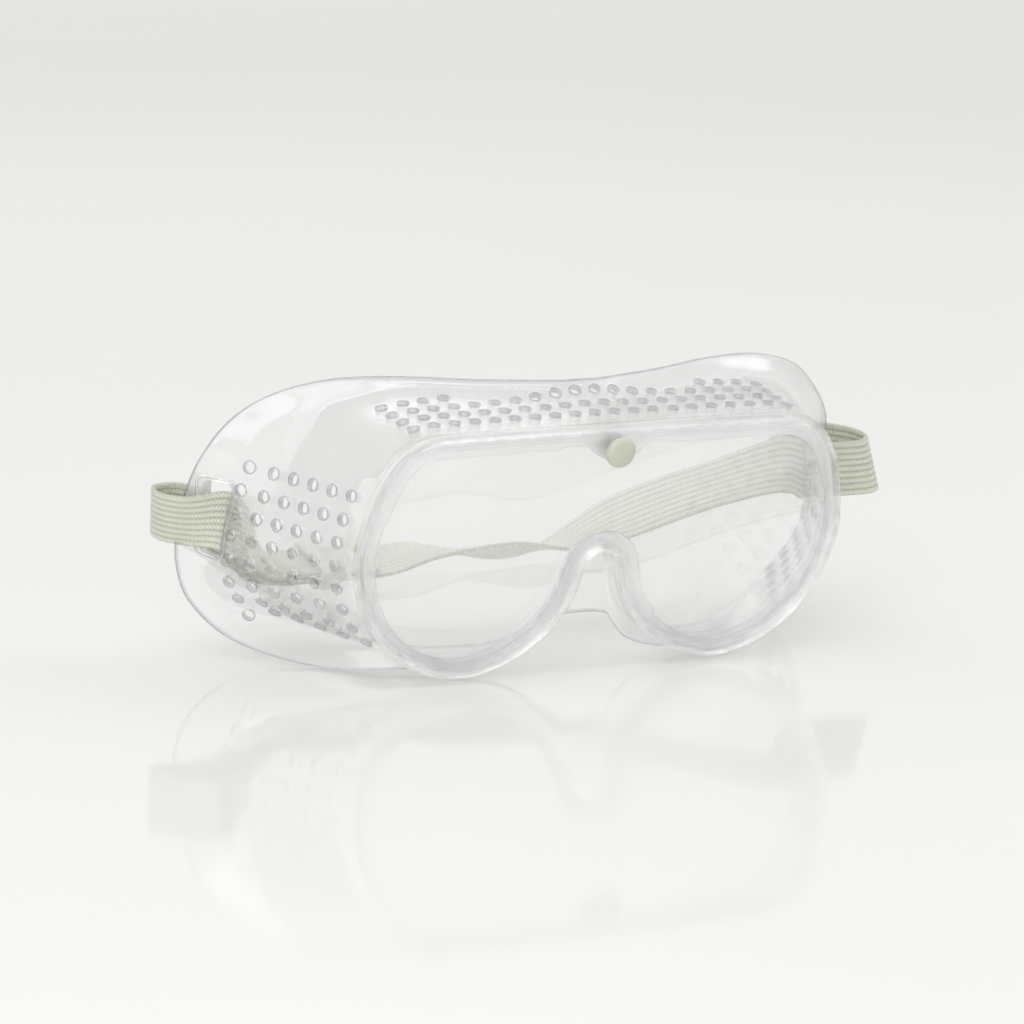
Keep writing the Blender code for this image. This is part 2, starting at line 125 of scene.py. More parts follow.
# Half of the moulding, from the top centre round to the bottom centre. Each row is the rim's
# x and z, the waist's x, y and z, and the face edge's x, y and z.
HULL_LINES = (
    (0.0, 67.0, 0.0, 19.0, 67.3, 0.0, 25.2, 70.2),
    (5.0, 67.0, 4.9, 19.2, 67.2, 5.1, 25.4, 70.1),
    (10.0, 67.0, 9.8, 20.0, 66.9, 10.2, 26.4, 70.0),
    (26.0, 67.0, 26.2, 25.4, 66.2, 26.9, 32.0, 69.0),
    (43.9, 66.8, 44.6, 32.8, 65.2, 47.2, 39.7, 68.0),
    (52.9, 66.2, 54.0, 36.3, 63.8, 61.5, 42.8, 66.8),
    (59.9, 62.2, 66.0, 38.8, 60.0, 75.2, 45.7, 62.6),
    (64.4, 55.7, 74.3, 40.8, 52.6, 85.0, 49.0, 54.8),
    (67.3, 47.0, 80.1, 42.3, 43.2, 91.6, 49.8, 45.0),
    (69.1, 36.0, 84.0, 43.5, 32.4, 94.0, 52.6, 34.0),
    (68.0, 26.8, 86.2, 44.8, 23.4, 94.5, 55.0, 22.8),
    (65.4, 19.6, 86.4, 45.2, 15.4, 93.6, 54.7, 12.3),
    (61.8, 13.3, 83.6, 45.4, 9.4, 90.2, 52.2, 3.2),
    (55.0, 6.6, 75.0, 40.5, 5.6, 80.5, 45.0, -5.2),
    (47.0, 2.2, 60.4, 28.0, 3.4, 67.0, 30.5, -6.7),
    (37.6, -0.2, 45.4, 18.0, 2.4, 53.0, 18.4, -3.9),
    (29.3, 1.1, 33.0, 12.8, 3.4, 37.5, 13.4, -2.6),
    (21.8, 4.1, 23.4, 9.4, 5.2, 24.4, 10.4, -0.6),
    (15.7, 8.2, 16.2, 8.6, 8.2, 15.4, 9.8, 2.6),
    (11.6, 12.1, 11.7, 8.5, 11.4, 11.0, 9.6, 6.9),
    (8.3, 16.8, 8.4, 8.5, 15.7, 8.5, 9.5, 10.2),
    (6.0, 22.3, 6.1, 8.5, 20.8, 6.2, 9.4, 11.0),
    (4.6, 28.2, 4.3, 8.5, 25.9, 4.2, 9.3, 11.3),
    (2.5, 31.3, 2.3, 8.5, 28.6, 2.1, 9.3, 11.4),
    (0.0, 32.1, 0.0, 8.5, 29.3, 0.0, 9.3, 11.4),
)

# The whole strap, from its sewn end inside the right temple, round the right bar, across
# the open back, round the left bar and back along itself: x, y, z and lean of its width.
STRAP_PATH = (
    (76.4, 46.6, 31.4, 46.0), (79.6, 48.4, 32.0, 32.0), (83.0, 52.6, 31.8, 14.0),
    (88.0, 56.8, 31.2, 2.0), (94.0, 58.4, 30.6, 0.0), (100.0, 57.4, 30.2, 0.0),
    (106.4, 54.6, 29.8, 0.0), (108.6, 50.7, 29.4, 0.0), (106.0, 47.5, 29.2, 0.0),
    (100.0, 47.2, 29.0, 0.0), (93.2, 47.6, 29.0, 0.0), (87.8, 47.0, 29.2, 0.0),
    (84.0, 46.0, 30.2, 10.0), (79.0, 44.8, 32.3, 37.0), (72.0, 44.0, 32.3, 58.0),
    (58.0, 44.6, 29.0, 70.0), (44.0, 45.3, 25.2, 70.0), (30.0, 45.6, 20.6, 72.0),
    (20.0, 45.6, 16.6, 88.0), (12.0, 45.8, 13.9, 106.0), (4.0, 46.3, 12.9, 122.0),
    (-4.0, 46.8, 13.0, 127.0), (-18.0, 47.6, 13.9, 112.0), (-28.0, 47.9, 14.2, 98.0),
    (-38.0, 47.3, 12.9, 89.0), (-46.0, 47.0, 12.2, 90.0), (-52.0, 47.0, 12.2, 90.0),
    (-60.0, 47.0, 12.2, 90.0), (-68.0, 47.0, 12.2, 90.0), (-72.5, 47.2, 13.4, 80.0),
    (-76.5, 48.5, 16.6, 55.0), (-80.5, 51.8, 20.4, 25.0), (-84.6, 56.6, 23.2, 6.0),
    (-89.2, 62.6, 24.2, 0.0), (-93.2, 65.2, 24.4, 0.0), (-97.0, 64.0, 24.6, 0.0),
    (-98.0, 59.4, 25.0, 0.0), (-96.0, 54.0, 25.9, 0.0), (-92.3, 49.3, 27.1, 0.0),
    (-87.6, 47.0, 28.0, 0.0), (-83.4, 45.8, 27.4, 6.0), (-79.0, 44.9, 24.4, 25.0),
    (-75.0, 45.4, 19.6, 55.0), (-71.6, 46.4, 15.4, 80.0), (-68.0, 46.9, 14.1, 90.0),
    (-60.0, 47.0, 14.1, 90.0), (-52.0, 47.0, 14.1, 90.0), (-43.0, 47.0, 14.1, 90.0),
)


# Curves and hull lines, as the CAD draws them

def spline_through(rows, distances, at):
    """A smooth curve through rows of numbers, one row at each distance."""
    last = len(rows) - 1
    index = 0
    while index < last - 1 and distances[index + 1] < at:
        index += 1

    def slope(i):
        low = max(i - 1, 0)
        high = min(i + 1, last)
        span = distances[high] - distances[low]
        return [(b - a) / span for a, b in zip(rows[low], rows[high])]

    span = distances[index + 1] - distances[index]
    t = (at - distances[index]) / span
    start = (2 * t**3 - 3 * t**2 + 1, t**3 - 2 * t**2 + t)
    end = (3 * t**2 - 2 * t**3, t**3 - t**2)
    values = zip(rows[index], slope(index), rows[index + 1], slope(index + 1))
    return [start[0] * a + start[1] * span * da + end[0] * b + end[1] * span * db
            for a, da, b, db in values]


def running_distances(rows, count):
    """Distance along rows of numbers, measured on the first count numbers of each."""
    distances = [0.0]
    for before, after in zip(rows, rows[1:]):
        distances.append(distances[-1] + math.dist(before[:count], after[:count]))
    return distances


def mirrored(line):
    return tuple(-value if place in (0, 2, 5) else value for place, value in enumerate(line))


def hull_table():
    lines = [mirrored(HULL_LINES[1]), *HULL_LINES, mirrored(HULL_LINES[-2])]
    distances = running_distances(lines, 2)
    return lines, [distance - distances[1] for distance in distances]


LINES, DISTANCES = hull_table()
HALF_LENGTH = DISTANCES[-2]


def hull_line(at):
    """Rim, waist and face edge points at a distance along the rim from the top centre."""
    values = spline_through(LINES, DISTANCES, at)
    rim = Vector((values[0], RIM_DEPTH, values[1]))
    return rim, Vector(values[2:5]), Vector(values[5:8])


def rim_normal(at):
    """Outward direction of the rim outline, in the lens plane."""
    if at <= 0.0:
        return Vector((0.0, 0.0, 1.0))
    if at >= HALF_LENGTH:
        return Vector((0.0, 0.0, -1.0))
    ahead = hull_line(min(at + 0.2, HALF_LENGTH))[0]
    behind = hull_line(max(at - 0.2, 0.0))[0]
    along = (ahead - behind).normalized()
    return Vector((-along.z, 0.0, along.x))


def wall_point(at, across):
    """Outer face of the wall: across runs from 0 at the rim, past 1 at the waist, to 2."""
    rim, waist, edge = hull_line(at)
    turn_in = rim.lerp(waist, 0.72)
    turn_out = waist.lerp(edge, 0.45)
    if across <= 0.8:
        return rim.lerp(turn_in, across / 0.8)
    if across >= 1.4:
        return turn_out.lerp(edge, (across - 1.4) / 0.6)
    t = (across - 0.8) / 0.6
    return turn_in.lerp(waist, t).lerp(waist.lerp(turn_out, t), t)


def wall_normal(at, across):
    """Direction out of the wall's outer face."""
    step = 0.3
    side = wall_point(min(at + step, HALF_LENGTH), across)
    side = side - wall_point(max(at - step, 0.0), across)
    back = wall_point(at, min(across + 0.03, 2.0)) - wall_point(at, max(across - 0.03, 0.0))
    normal = side.cross(back)
    if at <= 0.0 or at >= HALF_LENGTH:
        normal.x = 0.0
    return normal.normalized()


def tab_drop(at):
    """How much the lips widen at the tab that holds the snap button."""
    if at >= TAB_HALF_WIDTH:
        return 0.0
    return TAB_DROP * math.cos(0.5 * math.pi * at / TAB_HALF_WIDTH) ** 0.6


def lens_outline(inset, step=1.0):
    """The rim outline drawn in by an inset, once round."""
    steps = round(HALF_LENGTH / step)
    half = []
    for i in range(steps + 1):
        at = HALF_LENGTH * i / steps
        half.append(hull_line(at)[0] - rim_normal(at) * inset)
    half[0].x = 0.0
    half[-1].x = 0.0
    return half + [Vector((-p.x, p.y, p.z)) for p in half[-2:0:-1]]


def stand_place():
    """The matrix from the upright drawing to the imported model, found from the lens node."""
    low, high = (Vector(corner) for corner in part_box("lens"))
    heights = [point.z for point in lens_outline(LENS_INSET)]
    middle = Vector((0.0, 0.5 * (LENS_FRONT + LENS_BACK), 0.5 * (min(heights) + max(heights))))
    turn = Matrix.Rotation(LEAN, 4, "X")
    shift = 0.5 * (low + high) - turn @ (middle * MM)
    return Matrix.Translation(shift) @ turn


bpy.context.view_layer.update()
PLACE = stand_place()


def placed(point):
    return PLACE @ (Vector(point) * MM)


# Materials

def new_material(name):
    material = bpy.data.materials.new(name)
    material.use_nodes = True
    nodes = material.node_tree.nodes
    return material, nodes, material.node_tree.links, nodes["Principled BSDF"]


def add_noise(nodes, links, scale, detail=3.0):
    noise = nodes.new("ShaderNodeTexNoise")
    noise.inputs["Scale"].default_value = scale
    noise.inputs["Detail"].default_value = detail
    place = nodes.new("ShaderNodeTexCoord")
    links.new(place.outputs["Object"], noise.inputs["Vector"])
    return noise


def add_tint(nodes, links, factor, first, second, shader):
    """Base colour that wanders between two near colours."""
    links.new(blend_colours(nodes, links, factor, first, second), shader.inputs["Base Color"])


def spread(nodes, links, source, low, high):
    """A varying value, from low to high, made from a varying value near 0.3 to 0.7."""
    ramp = nodes.new("ShaderNodeMapRange")
    ramp.inputs["From Min"].default_value = 0.3
    ramp.inputs["From Max"].default_value = 0.7
    ramp.inputs["To Min"].default_value = low
    ramp.inputs["To Max"].default_value = high
    links.new(source, ramp.inputs["Value"])
    return ramp.outputs["Result"]


def blend_colours(nodes, links, factor, first, second):
    mix = nodes.new("ShaderNodeMix")
    mix.data_type = "RGBA"
    mix.inputs["A"].default_value = (*first, 1.0)
    mix.inputs["B"].default_value = (*second, 1.0)
    links.new(factor, mix.inputs["Factor"])
    return mix.outputs["Result"]


def add_bump(nodes, links, height, shader, depth, strength=1.0, under=None):
    bump = nodes.new("ShaderNodeBump")
    bump.inputs["Strength"].default_value = strength
    bump.inputs["Distance"].default_value = depth
    links.new(height, bump.inputs["Height"])
    if under is not None:
        links.new(under.outputs["Normal"], bump.inputs["Normal"])
    links.new(bump.outputs["Normal"], shader.inputs["Normal"])
    return bump


def clear_vinyl():
    """Soft clear vinyl: thick, faintly cloudy, with the slow waves of a moulded skin."""
    material, nodes, links, shader = new_material("clear_vinyl")
    shader.inputs["Transmission Weight"].default_value = 0.93
    shader.inputs["IOR"].default_value = 1.5
    shader.inputs["Alpha"].default_value = 0.52
    cloud = add_noise(nodes, links, 60.0, 2.0)
    add_tint(nodes, links, cloud.outputs["Fac"], (0.93, 0.935, 0.95),
             (0.98, 0.98, 0.992), shader)
    links.new(spread(nodes, links, cloud.outputs["Fac"], 0.03, 0.08), shader.inputs["Roughness"])
    slow = add_noise(nodes, links, 90.0, 1.0)
    waves = add_bump(nodes, links, slow.outputs["Fac"], shader, 0.00007)
    fine = add_noise(nodes, links, 1400.0, 2.0)
    add_bump(nodes, links, fine.outputs["Fac"], shader, 0.00002, under=waves)
    return material


def vinyl_edge_painted_shade():
    """The cut edges and vent walls of the vinyl, grey: painted shade for the dark lines at its
    edges.
    """
    material, nodes, links, shader = new_material("vinyl_edge_painted_shade")
    shader.inputs["Transmission Weight"].default_value = 0.75
    shader.inputs["IOR"].default_value = 1.48
    shader.inputs["Alpha"].default_value = 0.7
    shader.inputs["Roughness"].default_value = 0.2
    cloud = add_noise(nodes, links, 300.0, 2.0)
    add_tint(nodes, links, cloud.outputs["Fac"], (0.38, 0.39, 0.42),
             (0.68, 0.69, 0.73), shader)
    fine = add_noise(nodes, links, 900.0, 2.0)
    add_bump(nodes, links, fine.outputs["Fac"], shader, 0.00005)
    return material


def clear_polycarbonate():
    """The lens: polished, with faint wiping haze and very fine scratches."""
    material, nodes, links, shader = new_material("clear_polycarbonate")
    shader.inputs["Transmission Weight"].default_value = 0.6
    shader.inputs["IOR"].default_value = 1.4
    shader.inputs["Alpha"].default_value = 0.3
    haze = add_noise(nodes, links, 35.0, 4.0)
    add_tint(nodes, links, haze.outputs["Fac"], (0.95, 0.965, 0.965),
             (0.98, 0.985, 0.985), shader)
    links.new(spread(nodes, links, haze.outputs["Fac"], 0.01, 0.06), shader.inputs["Roughness"])
    scratch = add_noise(nodes, links, 900.0, 6.0)
    add_bump(nodes, links, scratch.outputs["Fac"], shader, 0.000008)
    return material


def white_plastic():
    """The snap fastener: warm white moulded plastic with a satin skin."""
    material, nodes, links, shader = new_material("white_plastic")
    shader.inputs["Subsurface Weight"].default_value = 0.25
    shader.inputs["Subsurface Scale"].default_value = 0.002
    shader.inputs["Coat Weight"].default_value = 0.2
    shader.inputs["Coat Roughness"].default_value = 0.15
    patch = add_noise(nodes, links, 220.0, 3.0)
    add_tint(nodes, links, patch.outputs["Fac"], (0.57, 0.59, 0.48),
             (0.63, 0.65, 0.54), shader)
    links.new(spread(nodes, links, patch.outputs["Fac"], 0.28, 0.45), shader.inputs["Roughness"])
    grain = add_noise(nodes, links, 2500.0, 2.0)
    add_bump(nodes, links, grain.outputs["Fac"], shader, 0.00002)
    return material


def natural_nylon():
    """The snap's socket: uncoloured nylon, cloudy but letting light through."""
    material, nodes, links, shader = new_material("natural_nylon")
    shader.inputs["Transmission Weight"].default_value = 0.6
    shader.inputs["IOR"].default_value = 1.45
    shader.inputs["Alpha"].default_value = 0.7
    cloud = add_noise(nodes, links, 260.0, 3.0)
    add_tint(nodes, links, cloud.outputs["Fac"], (0.84, 0.85, 0.82),
             (0.92, 0.93, 0.9), shader)
    links.new(spread(nodes, links, cloud.outputs["Fac"], 0.25, 0.4), shader.inputs["Roughness"])
    grain = add_noise(nodes, links, 2400.0, 2.0)
    add_bump(nodes, links, grain.outputs["Fac"], shader, 0.00002)
    return material


def slide_plastic():
    """The strap slide: matt off-white plastic with a fine moulded grain."""
    material, nodes, links, shader = new_material("slide_plastic")
    patch = add_noise(nodes, links, 160.0, 3.0)
    add_tint(nodes, links, patch.outputs["Fac"], (0.64, 0.66, 0.6),
             (0.73, 0.74, 0.68), shader)
    links.new(spread(nodes, links, patch.outputs["Fac"], 0.4, 0.6), shader.inputs["Roughness"])
    grain = add_noise(nodes, links, 3200.0, 2.0)
    add_bump(nodes, links, grain.outputs["Fac"], shader, 0.00003)
    return material


def math_node(nodes, links, operation, first, second=None):
    node = nodes.new("ShaderNodeMath")
    node.operation = operation
    for socket, value in zip(node.inputs, (first, second)):
        if value is None:
            continue
        if isinstance(value, (int, float)):
            socket.default_value = value
        else:
            links.new(value, socket)
    return node.outputs[0]


def knitted_elastic():
    """Knitted elastic: rows of small V stitches on lengthwise ribs, and loose fibres.

    The strap's UV map runs one unit per strap width along it and one unit across it.
    """
    material, nodes, links, shader = new_material("knitted_elastic")
    shader.inputs["Sheen Weight"].default_value = 0.3
    shader.inputs["Sheen Roughness"].default_value = 0.5
    shader.inputs["Roughness"].default_value = 0.85
    place = nodes.new("ShaderNodeUVMap")
    place.uv_map = "strap"
    parts = nodes.new("ShaderNodeSeparateXYZ")
    links.new(place.outputs["UV"], parts.inputs["Vector"])
    along, across = parts.outputs["X"], parts.outputs["Y"]
    ribs = math_node(nodes, links, "MULTIPLY", across, 2.0 * STRAP_RIBS)
    from_rib = math_node(nodes, links, "PINGPONG", ribs, 1.0)
    rows = math_node(nodes, links, "MULTIPLY", along, STRAP_WIDTH / STITCH_PITCH)
    lean = math_node(nodes, links, "MULTIPLY", from_rib, 0.8)
    slanted = math_node(nodes, links, "ADD", rows, lean)
    turns = math_node(nodes, links, "MULTIPLY", slanted, 2.0 * math.pi)
    wave = math_node(nodes, links, "SINE", turns)
    raised = math_node(nodes, links, "ADD", wave, 1.0)
    stitch = math_node(nodes, links, "MULTIPLY", raised, 0.5)
    fibres = add_noise(nodes, links, 3000.0, 3.0)
    fuzz = math_node(nodes, links, "MULTIPLY", fibres.outputs["Fac"], 0.6)
    height = math_node(nodes, links, "ADD", stitch, fuzz)
    patch = add_noise(nodes, links, 180.0, 3.0)
    # Painted shade: the colour is darkest in the grooves between the ribs and between the
    # stitches, and lightest on the rib crowns and stitch tops. The patch noise adds random tone.
    crown = math_node(nodes, links, "POWER", from_rib, 0.6)
    stitch_painted_shade = math_node(nodes, links, "MULTIPLY", height, 0.26)
    patch_tone = math_node(nodes, links, "MULTIPLY", patch.outputs["Fac"], 0.2)
    rib_painted_shade = math_node(nodes, links, "MULTIPLY", crown, 0.6)
    both = math_node(nodes, links, "ADD", stitch_painted_shade, patch_tone)
    shade = math_node(nodes, links, "ADD", both, rib_painted_shade)
    # The dark end of this tint is painted shade; the light end is the elastic's own off-white.
    add_tint(nodes, links, shade, (0.38, 0.39, 0.30),
             (0.93, 0.93, 0.81), shader)
    add_bump(nodes, links, height, shader, 0.00022, 0.9)
    return material


def sewing_thread():
    """The bar tack's twisted polyester thread."""
    material, nodes, links, shader = new_material("sewing_thread")
    shader.inputs["Roughness"].default_value = 0.7
    twist = add_noise(nodes, links, 2600.0, 2.0)
    add_tint(nodes, links, twist.outputs["Fac"], (0.62, 0.62, 0.55),
             (0.82, 0.82, 0.75), shader)
    add_bump(nodes, links, twist.outputs["Fac"], shader, 0.00008)
    return material


def pale_table():
    """A pale, softly glossy table top."""
    material, nodes, links, shader = new_material("pale_table")
    shader.inputs["Specular IOR Level"].default_value = 0.35
    patch = add_noise(nodes, links, 6.0, 4.0)
    add_tint(nodes, links, patch.outputs["Fac"], (0.80, 0.805, 0.785),
             (0.83, 0.835, 0.815), shader)
    links.new(spread(nodes, links, patch.outputs["Fac"], 0.05, 0.08), shader.inputs["Roughness"])
    return material


# Mesh helpers

def shade_smooth(shape, crease=CREASE_ANGLE):
    """Smooth faces, with the edges that turn more than the crease angle kept sharp."""
    for face in shape.faces:
        face.smooth = True
    for edge in shape.edges:
        edge.smooth = edge.calc_face_angle(0.0) < math.radians(crease)


def circle(radius, count):
    """Pairs of numbers round a circle."""
    angles = [2 * math.pi * k / count for k in range(count)]
    return [(radius * math.cos(angle), radius * math.sin(angle)) for angle in angles]


def mesh_object(name, shape, *materials):
    """An object from a bmesh in placed metres, smooth with sharp edges kept."""
    bmesh.ops.recalc_face_normals(shape, faces=shape.faces)
    shade_smooth(shape)
    mesh = bpy.data.meshes.new(name)
    shape.to_mesh(mesh)
    shape.free()
    piece = bpy.data.objects.new(name, mesh)
    bpy.context.scene.collection.objects.link(piece)
    for material in materials:
        mesh.materials.append(material)
    return piece


def add_rings(shape, sections, closed=False, caps=False):
    """Faces between closed rows of points, one row per section."""
    rings = [[shape.verts.new(placed(point)) for point in section] for section in sections]
    count = len(rings[0])
    pairs = list(zip(rings, rings[1:]))
    if closed:
        pairs.append((rings[-1], rings[0]))
    for first, second in pairs:
        for i in range(count):
            j = (i + 1) % count
            shape.faces.new((first[i], first[j], second[j], second[i]))
    if caps:
        shape.faces.new(rings[0][::-1])
        shape.faces.new(rings[-1])


def box_corners(fixed, half_y, half_z):
    """Four corners of an upright rectangle that faces along X."""
    signs = ((-1.0, -1.0), (1.0, -1.0), (1.0, 1.0), (-1.0, 1.0))
    return [Vector((fixed, y * half_y, z * half_z)) for y, z in signs]


def rounded_loop(points, radii, steps=3):
    """A closed loop of points with each corner drawn as a short curve."""
    loop = []
    count = len(points)
    for i, (point, radius) in enumerate(zip(points, radii)):
        if radius <= 0.0:
            loop.append(point)
            continue
        before = points[i - 1] - point
        after = points[(i + 1) % count] - point
        start = point + before.normalized() * min(radius, 0.45 * before.length)
        end = point + after.normalized() * min(radius, 0.45 * after.length)
        for step in range(steps + 1):
            t = step / steps
            loop.append(start.lerp(point, t).lerp(point.lerp(end, t), t))
    return loop


def tube(shape, points, radius, sides=8, closed=False):
    """A round bar along points."""
    count = len(points)
    sections = []
    for i, point in enumerate(points):
        if closed:
            along = points[(i + 1) % count] - points[i - 1]
        else:
            along = points[min(i + 1, count - 1)] - points[max(i - 1, 0)]
        along = along.normalized()
        guide = Vector((0.0, 0.0, 1.0)) if abs(along.z) < 0.9 else Vector((0.0, 1.0, 0.0))
        side = along.cross(guide).normalized()
        up = side.cross(along)
        sections.append([point + side * x + up * y for x, y in circle(radius, sides)])
    add_rings(shape, sections, closed=closed, caps=not closed)


# Frame moulding

def lip_extra(at):
    """The lip is a little wider round the upper corners and beside the nose."""
    def step_at(start, run=1.2):
        return min(max((at - start) / run, 0.0), 1.0)
    upper = step_at(TAB_HALF_WIDTH + 6.0, 3.0) - step_at(78.0)
    nose = step_at(HALF_LENGTH - 27.0)
    return 0.7 * upper + 1.0 * nose


def frame_section(at):
    """One closed cross-section of the moulding: bead, lips and groove, then the wall.

    Also says which of its faces are on the edge of the face seal.
    """
    rim = hull_line(at)[0]
    normal = rim_normal(at)
    drop = tab_drop(at)
    front = LIP_WIDTH + drop + lip_extra(at)
    rear = LIP_REAR_WIDTH + drop
    groove_front = LIP_FRONT_DEPTH
    groove_back = groove_front + GROOVE_DEPTH
    lip_back = groove_back + LIP_REAR_DEPTH
    lips = (
        (WALL + 0.3, lip_back + 0.9, 0.4), (WALL + 1.1, lip_back, 0.3), (rear, lip_back, 0.4),
        (rear, groove_back, 0.2), (GROOVE_INSET, groove_back, 0.0),
        (GROOVE_INSET, groove_front, 0.0), (front, groove_front, 0.2), (front, 0.4, 0.4),
        (2.7, 0.4, 0.2), (2.3, 0.0, 0.25), (0.9, 0.0, 0.5), (0.0, 0.9, 0.5), (0.0, 3.2, 0.0),
    )
    points = []
    radii = []
    for inset, depth, radius in lips:
        point = rim - normal * inset
        point.y = depth
        points.append(point)
        radii.append(radius)
    across = (0.0, 0.16, 0.32, 0.48, 0.64, 0.8, 0.9, 1.0, 1.1, 1.2, 1.3, 1.4, 1.6, 1.8, 2.0)
    outer = [wall_point(at, value) for value in across]
    inner = [wall_point(at, value) - wall_normal(at, value) * WALL for value in across]
    edge_radius = [0.0] * (len(across) - 1) + [0.6]
    loop = rounded_loop(points + outer + inner[::-1], radii + edge_radius + edge_radius[::-1])
    flange = sum(1 if radius <= 0.0 else 4 for radius in radii) + len(across) - 1
    return loop, range(flange, flange + 7)


def across_at_depth(at, depth):
    """Where along a wall section the outer face reaches a depth."""
    low = 0.0
    high = 2.0
    for _ in range(30):
        middle = 0.5 * (low + high)
        if wall_point(at, middle).y < depth:
            low = middle
        else:
            high = middle
    return low


def vent_places():
    """Distance along the rim and depth of every vent on the +X half."""
    places = []
    for row, depth in enumerate(TOP_ROWS):
        for column in range(TOP_COLUMNS // 2):
            from_end = TOP_COLUMNS // 2 - 1 - column
            if row < len(TOP_ROWS) - 1 or from_end < TOP_REAR_ROW_ENDS:
                places.append(((column + 0.5) * TOP_PITCH, depth))
    for row in range(SIDE_ROWS):
        for column, depth in enumerate(SIDE_COLUMNS):
            at = SIDE_FIRST_ROW + row * SIDE_ROW_PITCH + column * SIDE_ROW_SLANT
            places.append((at, depth))
    return places


def vent_axes():
    """Centre and outward direction of every vent, both halves."""
    axes = []
    for at, depth in vent_places():
        across = across_at_depth(at, depth)
        centre = wall_point(at, across)
        normal = wall_normal(at, across)
        for side in (1.0, -1.0):
            flip = Vector((side, 1.0, 1.0))
            axes.append((centre * flip, normal * flip))
    return axes


def subtract(piece, shape, name):
    """Cut a bmesh of closed cutters out of a piece and keep only the result."""
    mesh = bpy.data.meshes.new(name)
    bmesh.ops.recalc_face_normals(shape, faces=shape.faces)
    for face in shape.faces:
        face.material_index = len(piece.data.materials) - 1
    shape.to_mesh(mesh)
    shape.free()
    for material in piece.data.materials:
        mesh.materials.append(material)
    cutter = bpy.data.objects.new(name, mesh)
    bpy.context.scene.collection.objects.link(cutter)
    modifier = piece.modifiers.new(name, "BOOLEAN")
    modifier.object = cutter
    modifier.operation = "DIFFERENCE"
    modifier.solver = "EXACT"
    bpy.context.view_layer.update()
    solid = piece.evaluated_get(bpy.context.evaluated_depsgraph_get())
    result = bpy.data.meshes.new_from_object(solid)
    piece.modifiers.clear()
    piece.data = result
    bpy.data.objects.remove(cutter)


def vent_cutters():
    """Round cutters through the wall at every vent."""
    shape = bmesh.new()
    for centre, normal in vent_axes():
        turn = normal.to_track_quat("Z", "Y").to_matrix()
        sections = [[centre + turn @ Vector((x, y, depth)) for x, y in circle(VENT_RADIUS, 18)]
                    for depth in (3.0, -4.0)]
        add_rings(shape, sections, caps=True)
    return shape


def slot_cutters():
    """Rounded blocks through the wall at the two temple slots."""
    shape = bmesh.new()
    half = Vector(SLOT_SIZE) * 0.5
    for side in (1.0, -1.0):
        centre = Vector((SLOT_CENTRE[0] * side, SLOT_CENTRE[1], SLOT_CENTRE[2]))
        sections = []
        for x in (-half.x, half.x):
            loop = rounded_loop(box_corners(x, half.y, half.z), [SLOT_CORNER] * 4, 5)
            sections.append([centre + point for point in loop])
        add_rings(shape, sections, caps=True)
    return shape


def point_on_wall(depth, height, side):
    """Where the wall's outer skin is at a depth and a height, near the temple."""
    low, high = 75.0, 150.0
    for _ in range(30):
        middle = 0.5 * (low + high)
        if wall_point(middle, across_at_depth(middle, depth)).z > height:
            low = middle
        else:
            high = middle
    point = wall_point(low, across_at_depth(low, depth))
    normal = wall_normal(low, across_at_depth(low, depth))
    flip = Vector((side, 1.0, 1.0))
    return point * flip, normal * flip


def slot_beads(shape):
    """A raised bead round each temple slot."""
    half_y, half_z = (0.5 * size for size in SLOT_BEAD_SIZE)
    centre = Vector((0.0, SLOT_CENTRE[1], SLOT_CENTRE[2]))
    corners = [centre + corner for corner in box_corners(0.0, half_y, half_z)]
    loop = rounded_loop(corners, [SLOT_BEAD_CORNER] * 4, 5)
    for side in (1.0, -1.0):
        outline = []
        for first, second in zip(loop, loop[1:] + loop[:1]):
            for step in range(3):
                outline.append(first.lerp(second, step / 3))
        points = []
        for target in outline:
            point, normal = point_on_wall(target.y, target.z, side)
            points.append(point + normal * 0.05)
        tube(shape, points, 0.42, 8, closed=True)


def vent_beads(shape):
    """The fine raised ring round the mouth of every vent."""
    for centre, normal in vent_axes():
        turn = normal.to_track_quat("Z", "Y").to_matrix()
        ring = [centre + turn @ Vector((x, y, 0.06)) for x, y in circle(VENT_RING_RADIUS, 20)]
        tube(shape, ring, 0.17, 5, closed=True)


def make_frame(material, edge_shade_material):
    """The clear shell, cut by its vents and slots, with their raised beads."""
    steps = round(HALF_LENGTH / 1.5)
    half = [frame_section(HALF_LENGTH * i / steps)[0] for i in range(steps + 1)]
    flange = frame_section(0.0)[1]
    for end in (half[0], half[-1]):
        for point in end:
            point.x = 0.0
    other = [[Vector((-p.x, p.y, p.z)) for p in section] for section in half[-2:0:-1]]
    shape = bmesh.new()
    add_rings(shape, half + other, closed=True)
    # Faces on the face seal's edge take the second material, grey painted shade for the dark
    # line along that edge.
    for number, face in enumerate(shape.faces):
        if number % len(half[0]) in flange:
            face.material_index = 1
    body = mesh_object("frame_moulding_visual", shape, material, edge_shade_material)
    # The cutters' faces become the vent and slot walls, in the grey painted-shade material.
    subtract(body, vent_cutters(), "vent_cutters")
    subtract(body, slot_cutters(), "slot_cutters")
    shape = bmesh.new()
    shape.from_mesh(body.data)
    slot_beads(shape)
    shape.faces.ensure_lookup_table()
    before = len(shape.faces)
    vent_beads(shape)
    shape.faces.ensure_lookup_table()
    # The vent beads take the grey painted-shade material.
    for face in shape.faces[before:]:
        face.material_index = 1
    shade_smooth(shape)
    shape.to_mesh(body.data)
    shape.free()
    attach(body, "frame")
    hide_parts("frame_moulding")


# Lens and snap fastener

